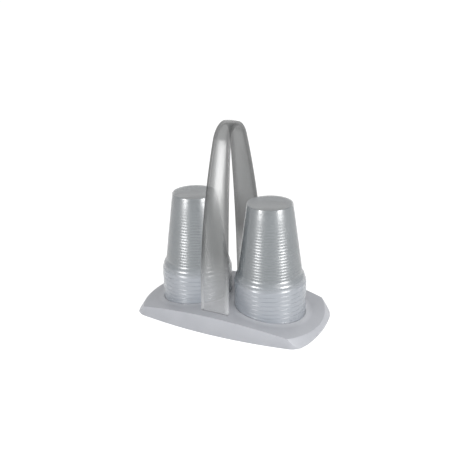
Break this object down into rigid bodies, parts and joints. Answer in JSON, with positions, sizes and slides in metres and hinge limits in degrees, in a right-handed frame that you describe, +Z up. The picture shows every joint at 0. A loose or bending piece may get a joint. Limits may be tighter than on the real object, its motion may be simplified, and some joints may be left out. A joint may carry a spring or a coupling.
{
  "type": "cup holder",
  "caption": "Table holder for disposable cups: a crowned grey base with round sunk seats, a tall clear arch handle, and stacks of ribbed clear cups standing mouth down.",
  "frame": {"origin": "middle of the base's underside, on the table", "axes": "+Z up; X along the base, through both seats; Y across the base, with the arch handle standing in the Y-Z plane"},
  "size_m": [0.19, 0.105, 0.196],
  "materials": {
    "base_plastic": "satin",
    "clear_plastic": "clear, polished",
    "cup_plastic": "translucent, glossy"
  },
  "bodies": {
    "root": {"base": "base_plastic", "handle": "clear_plastic", "cup_left_1": "cup_plastic", "cup_left_2": "cup_plastic", "cup_left_3": "cup_plastic", "cup_left_4": "cup_plastic", "cup_left_5": "cup_plastic", "cup_left_6": "cup_plastic", "cup_left_7": "cup_plastic", "cup_left_8": "cup_plastic", "cup_right_1": "cup_plastic", "cup_right_2": "cup_plastic", "cup_right_3": "cup_plastic", "cup_right_4": "cup_plastic", "cup_right_5": "cup_plastic", "cup_right_6": "cup_plastic", "cup_right_7": "cup_plastic", "cup_right_8": "cup_plastic"}
  },
  "joints": []
}
